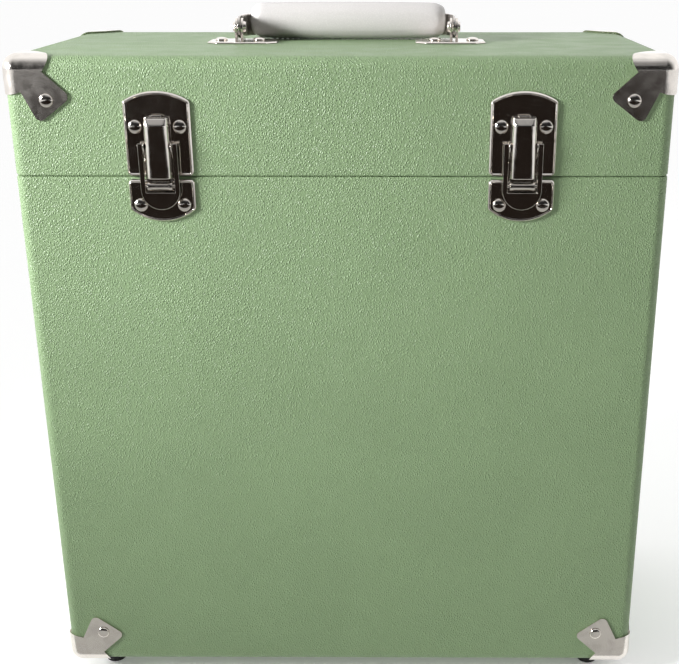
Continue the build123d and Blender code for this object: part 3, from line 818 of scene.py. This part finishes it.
def link(centre_x, low, high):
    """Spring link: a channel with a sloped shoulder and a notched cap, on a turned knuckle."""
    half = (high.x - low.x) / 2
    top = high.z - parting_z
    bottom = -0.2 * MM
    back = front_y - high.y
    front = front_y - low.y
    wall = 0.8 * MM
    cap_half = half - 0.5 * MM
    cap_front = front - 1.95 * MM
    cap_radius = 1.7 * MM
    notch_half = 3.4 * MM
    notch_front = 4.8 * MM
    neck = 2.1 * MM
    collar = 2.4 * MM
    collar_end = 0.3 * MM
    collar_inside = 1.9 * MM
    neck_end = 2.1 * MM
    web_top = 0.6 * MM

    def section_place(across, out, up):
        return Vector((centre_x + across, front_y - out, parting_z + up))

    def build(form):
        # Height, step back of the front, and radius of the front corners.
        levels = (
            (bottom, 0.35 * MM, 3.5 * MM),
            (bottom + 0.25 * MM, 0.08 * MM, 3.7 * MM),
            (bottom + 0.7 * MM, 0.0, 3.8 * MM),
            (top - 4.2 * MM, 0.0, 3.8 * MM),
            (top - 3.6 * MM, 0.12 * MM, 3.6 * MM),
            (top - 3.0 * MM, 0.45 * MM, 3.2 * MM),
            (top - 0.9 * MM, 1.75 * MM, 2.0 * MM),
            (top - 0.35 * MM, 2.1 * MM, 1.7 * MM),
        )
        rings = []
        for up, step_back, radius in levels:
            section = channel_outline(half - 0.25 * step_back, back, front - step_back, radius, wall)
            rings.append([section_place(point.x, point.y, up) for point in section])
        loft(form, rings)
        cap = [Vector((-cap_half, back)), Vector((-notch_half, back)), Vector((-notch_half, notch_front))]
        cap += [Vector((notch_half, notch_front)), Vector((notch_half, back)), Vector((cap_half, back))]
        for hand, first in ((1, 0), (-1, 90)):
            centre = (hand * (cap_half - cap_radius), cap_front - cap_radius)
            cap += arc_points(centre, cap_radius, first, first + 90, steps=5)
        stamping(form, section_place, cap, soft_levels(top - 1.0 * MM, top, 0.2 * MM))
        knuckle = (
            (neck, -half),
            (collar, -half + collar_end),
            (collar, -half + collar_inside),
            (neck, -half + neck_end),
            (neck, half - neck_end),
            (collar, half - collar_inside),
            (collar, half - collar_end),
            (neck, half),
        )
        bar(form, centre_x, link_axis_out, link_axis_up, knuckle)
        for hand in SIDES.values():
            inner, outer = sorted((hand * (half - wall), hand * half))
            web = rectangle((back, link_axis_up), (back + collar, web_top))
            stamping(form, latch_side_place(centre_x), web, soft_levels(inner, outer, 0.1 * MM))

    return build


for side in SIDES:
    upper_low, upper_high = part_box(f"latch_upper_plate_{side}")
    latch_x = (upper_low.x + upper_high.x) / 2
    for name, builder, body in (
        ("upper_plate", upper_plate(latch_x, upper_low, upper_high), "lid"),
        ("lower_plate", lower_plate(latch_x, *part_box(f"latch_lower_plate_{side}")), "base"),
        ("lever", lever(latch_x), f"lever_{side}"),
        ("link", link(latch_x, *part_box(f"latch_link_{side}")), f"link_{side}"),
    ):
        make_piece(
            f"latch_{name}_{side}_pressed",
            builder,
            body,
            "nickel_latch",
            replaces=[f"latch_{name}_{side}"],
        )


# ---------------------------------------------------------------- handle
def handle_bracket(low, high):
    """Chamfered plate with two upright ears for the handle's end."""
    middle_x = (low.x + high.x) / 2
    plate_half_x = (high.x - low.x) / 2
    plate_half_y = (high.y - low.y) / 2
    chamfer = 6 * MM
    strap_offset = 62.4 * MM
    strap_gap = 0.9 * MM
    pivot_up = 8.6 * MM
    ear_sheet = 1.4 * MM
    ear_seat = 0.9 * MM
    ear_half = 6.5 * MM
    ear_radius = 5.0 * MM

    def place(across, along, up):
        return Vector((middle_x + across, centre_y + along, low.z + up))

    def side_place(along, up, across):
        return Vector((across, centre_y + along, low.z + up))

    def build(form):
        corners = []
        for turn, (side_x, side_y) in enumerate(((-1, -1), (1, -1), (1, 1), (-1, 1))):
            near_x = Vector((side_x * (plate_half_x - chamfer), side_y * plate_half_y))
            near_y = Vector((side_x * plate_half_x, side_y * (plate_half_y - chamfer)))
            corners += [near_y, near_x] if turn % 2 == 0 else [near_x, near_y]
        outline = rounded_outline(corners, 0.8 * MM, steps=3)
        levels = ((0.0, 0.0), (0.35, 0.0), (0.62, 0.12), (0.85, 0.34), (1.02, 0.7), (1.10, 1.2))
        stamping(form, place, outline, in_millimetres(levels))
        strap_x = math.copysign(strap_offset, middle_x)
        ear = [Vector((-ear_half, ear_seat)), Vector((ear_half, ear_seat))]
        ear += arc_points((0, pivot_up), ear_radius, 12, 168)
        for offset in (strap_gap, -strap_gap - ear_sheet):
            start = strap_x + offset
            stamping(form, side_place, ear, soft_levels(start, start + ear_sheet, 0.25 * MM))

    return build


for side in SIDES:
    node = f"handle_bracket_{side}"
    make_piece(
        f"{node}_pressed",
        handle_bracket(*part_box(node)),
        "lid",
        "nickel_corner",
        replaces=[node],
    )

grip_low, grip_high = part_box("handle_cover")
grip_middle = (grip_low + grip_high) / 2
grip_half = (grip_high - grip_low) / 2
grip_edge = 9 * MM
grip_end_length = 7.5 * MM
grip_end_drop = 5 * MM


def grip_form(form, inset):
    """Rounded bar of the grip, its ends drawn in towards the strap."""
    end_steps = 8
    body_steps = 24
    end_taper = 0.5 * MM
    roundest = 0.98
    least_radius = 1 * MM
    half = grip_half.x - inset
    stations = []
    for step in range(end_steps + 1):
        angle = math.pi / 2 * step / end_steps
        x = half - grip_end_length * (1 - math.sin(angle))
        stations.append((x, grip_end_drop * (1 - math.cos(angle))))
    reach = half - grip_end_length
    ends = [(x, shrink) for x, shrink in stations if x > reach]
    lengthwise = [(-x, shrink) for x, shrink in reversed(ends)]
    lengthwise += [(-reach + 2 * reach * step / body_steps, 0.0) for step in range(body_steps + 1)]
    lengthwise += ends
    rings = []
    for x, shrink in lengthwise:
        taper = end_taper * (x / half) ** 2
        half_y = grip_half.y - inset - shrink - taper
        half_z = grip_half.z - inset - shrink - taper
        corners = rectangle((-half_y, -half_z), (half_y, half_z))
        radius = min(grip_edge - inset - 0.5 * shrink, half_y * roundest, half_z * roundest)
        outline = rounded_outline(corners, max(radius, least_radius), steps=7)
        rings.append([grip_middle + Vector((x, point.x, point.y)) for point in outline])
    loft(form, rings)


def applied(piece):
    """Mesh of a piece with its modifiers applied and taken off."""
    graph = bpy.context.evaluated_depsgraph_get()
    mesh = bpy.data.meshes.new_from_object(piece.evaluated_get(graph))
    piece.modifiers.clear()
    return mesh


def relax_as_cloth(piece, pressure, cap):
    """Blow the skin out with the cloth solver, no further than the cap, and keep the result as its mesh."""
    ticks = 20
    remesh = piece.modifiers.new("even_mesh", "REMESH")
    remesh.mode = "VOXEL"
    remesh.voxel_size = 2.2 * MM
    bpy.context.view_layer.update()
    even = applied(piece)
    piece.data = even
    start = [vertex.co.copy() for vertex in even.vertices]
    cloth = piece.modifiers.new("cloth", "CLOTH")
    cloth.settings.quality = 6
    cloth.settings.mass = 0.2
    cloth.settings.tension_stiffness = 20
    cloth.settings.compression_stiffness = 12
    cloth.settings.bending_stiffness = 0.8
    cloth.settings.use_pressure = True
    cloth.settings.uniform_pressure_force = pressure
    cloth.settings.effector_weights.gravity = 0
    scene = bpy.context.scene
    for tick in range(1, ticks + 1):
        scene.frame_set(tick)
    blown = applied(piece)
    scene.frame_set(1)
    for vertex, origin in zip(blown.vertices, start):
        travel = vertex.co - origin
        if travel.length > cap:
            vertex.co = origin + travel * (cap / travel.length)
    piece.data = blown
    shade_smooth(blown)


def subdivide(piece):
    """Apply one level of subdivision smoothing to a piece."""
    smoothing = piece.modifiers.new("subdivision", "SUBSURF")
    smoothing.levels = 1
    piece.data = applied(piece)
    shade_smooth(piece.data)


def press_seam(piece):
    """Sink the sewn seam into the underside of the grip."""
    depth = 0.7 * MM
    width = 1.5 * MM
    for vertex in piece.data.vertices:
        sideways = vertex.co.y - grip_middle.y
        if vertex.co.z < grip_middle.z:
            vertex.co.z += depth * math.exp(-((sideways / width) ** 2))


pressure = 4.0
swell = 0.6 * MM
cover_sheet = 1.3 * MM
grip = make_piece(
    "handle_grip_cover",
    lambda form: grip_form(form, 0),
    "handle",
    "handle_leatherette",
    replaces=["handle_cover"],
)
padding = make_piece(
    "handle_grip_padding",
    lambda form: grip_form(form, cover_sheet),
    "handle",
    "handle_foam",
    replaces=["handle_padding"],
)
relax_as_cloth(grip, pressure, swell)
grip.data.materials.clear()
grip.data.materials.append(finishes["handle_leatherette"])
subdivide(grip)
press_seam(grip)


def stitches(form):
    """Thread along the seam on the underside of the grip."""
    pitch = 3.2 * MM
    length = 2.1 * MM
    radius = 0.28 * MM
    end_radius = 0.4 * radius
    row_offset = 2.4 * MM
    thread_sag = 0.25 * MM
    thread_z = grip_low.z - 0.15 * MM
    run = grip_half.x - 12 * MM
    count = int(2 * run / pitch)
    for index in range(count):
        x = -run + (index + 0.5) * pitch
        for hand in SIDES.values():
            middle = Vector((x, grip_middle.y + hand * row_offset, thread_z))

            def place(u, v, w, middle=middle):
                sag = thread_sag * (2 * w / length) ** 2
                return middle + Vector((w, u, v + sag))

            thread = [(end_radius, -length / 2), (radius, -length / 3), (radius, 0)]
            thread += [(radius, length / 3), (end_radius, length / 2)]
            lathe(form, place, thread, segments=8)


make_piece("handle_stitches", stitches, "handle", "handle_leatherette")


# ---------------------------------------------------------------- foot screws
def screws(form):
    """Round-headed screws up inside the feet."""
    shank_radius = 1.5 * MM
    point_radius = 0.3 * MM
    point_length = 1.2 * MM
    head_height = 2.2 * MM
    for low, high in islands("foot_screws"):
        middle = (low + high) / 2
        head_radius = (high.x - low.x) / 2

        def place(u, v, w, middle=middle, low=low):
            return Vector((middle.x + u, middle.y + v, low.z + w))

        length = high.z - low.z
        profile = [(0.25 * head_radius, 0.9 * MM), (0.3 * head_radius, 0.15 * MM)]
        profile += [(0.6 * head_radius, 0.1 * MM), (0.85 * head_radius, 0.45 * MM)]
        profile += [(head_radius, 1.2 * MM), (head_radius, head_height), (shank_radius, head_height)]
        profile += [(shank_radius, length - point_length), (point_radius, length)]
        lathe(form, place, profile, segments=32)


make_piece("foot_round_screws", screws, "base", "screw_steel", replaces=["foot_screws"])

# ---------------------------------------------------------------- stage
scene = bpy.context.scene
floor_reach = 12
card_half_width = 1.6
flag_back_y = -0.62
grey_back_y = -0.1
card_z = 2 * MM


def plain_material(name, color, roughness, glow=0.0):
    """Even paint for the stage."""
    settings = {"Specular_IOR_Level": 0.0, "Emission_Color": (1, 1, 1, 1), "Emission_Strength": glow}
    return Shader(name, color, roughness, **settings).material


def card(name, low, high, z, material):
    """Flat card lying level."""
    form = bmesh.new()
    corners = [(low[0], low[1], z), (high[0], low[1], z), (high[0], high[1], z), (low[0], high[1], z)]
    form.faces.new([form.verts.new(corner) for corner in corners])
    mesh = bpy.data.meshes.new(name)
    form.to_mesh(mesh)
    form.free()
    mesh.materials.append(material)
    made = bpy.data.objects.new(name, mesh)
    scene.collection.objects.link(made)
    return made


pale_floor = plain_material("pale_floor", (0.95, 0.95, 0.95), 0.9, glow=0.17)
card("floor", (-floor_reach, -floor_reach), (floor_reach, floor_reach), 0, pale_floor)
black_cloth = plain_material("black_cloth", (0.02, 0.015, 0.012), 1)
flag_front_left = (-card_half_width, -floor_reach)
flag = card("dark_flag", flag_front_left, (card_half_width, flag_back_y), card_z, black_cloth)
grey_cloth = plain_material("grey_cloth", (0.5, 0.49, 0.48), 1)
grey_front_left = (-card_half_width, flag_back_y)
grey = card("grey_card", grey_front_left, (card_half_width, grey_back_y), card_z, grey_cloth)
for unseen in (flag, grey):
    unseen.visible_camera = False
    unseen.visible_diffuse = False
    unseen.visible_shadow = False


def softbox(name, place, target, size, power, spread=math.pi):
    """Square area light aimed at a point, its beam as wide as the spread."""
    light = bpy.data.lights.new(name, "AREA")
    light.shape = "SQUARE"
    light.size = size
    light.energy = power
    light.spread = spread
    made = bpy.data.objects.new(name, light)
    made.visible_camera = False
    scene.collection.objects.link(made)
    made.location = place
    made.rotation_euler = (Vector(target) - Vector(place)).to_track_quat("-Z", "Y").to_euler()


softbox(
    "key_left",
    place=(-0.95, -0.50, 0.62),
    target=(-0.16, -0.08, 0.37),
    size=0.30,
    power=2.3,
    spread=math.radians(50),
)
softbox("front_above", place=(0, -1.0, 1.5), target=(0, 0, 0.25), size=1.2, power=1.2)

world = bpy.data.worlds.new("studio")
scene.world = world
world.use_nodes = True
# The world is dark towards the front, where the nickel reflects it, and bright towards the back.
tree = world.node_tree
background = tree.nodes["Background"]
direction = tree.nodes.new("ShaderNodeTexCoord")
parts = tree.nodes.new("ShaderNodeSeparateXYZ")
tree.links.new(direction.outputs["Generated"], parts.inputs[0])
ramp = tree.nodes.new("ShaderNodeMapRange")
ramp.interpolation_type = "SMOOTHSTEP"
limits = {"From Min": -0.75, "From Max": 0.1, "To Min": 0.025, "To Max": 1.2}
for socket, number in limits.items():
    ramp.inputs[socket].default_value = number
tree.links.new(parts.outputs["Y"], ramp.inputs["Value"])
tree.links.new(ramp.outputs["Result"], background.inputs["Strength"])
background.inputs["Color"].default_value = (1, 1, 1, 1)

scene.view_settings.view_transform = "Standard"
scene.view_settings.look = "None"

# ---------------------------------------------------------------- camera
pitch = math.radians(21.03)
yaw = math.radians(0.26)
right_of_centre = 31.6 * MM
before_front = 603 * MM
above_lid = 53.9 * MM

camera_data = bpy.data.cameras.new("camera")
camera_data.sensor_width = 36
camera_data.lens = 60.177
camera_data.shift_x = -0.08262
camera_data.shift_y = 0.07069
camera_data.clip_start = 0.01
camera = bpy.data.objects.new("camera", camera_data)
scene.collection.objects.link(camera)
camera.location = (right_of_centre, front_y - before_front, lid_top_z + above_lid)
camera.rotation_euler = (math.pi / 2 - pitch, 0, yaw)
scene.camera = camera

bpy.context.view_layer.update()
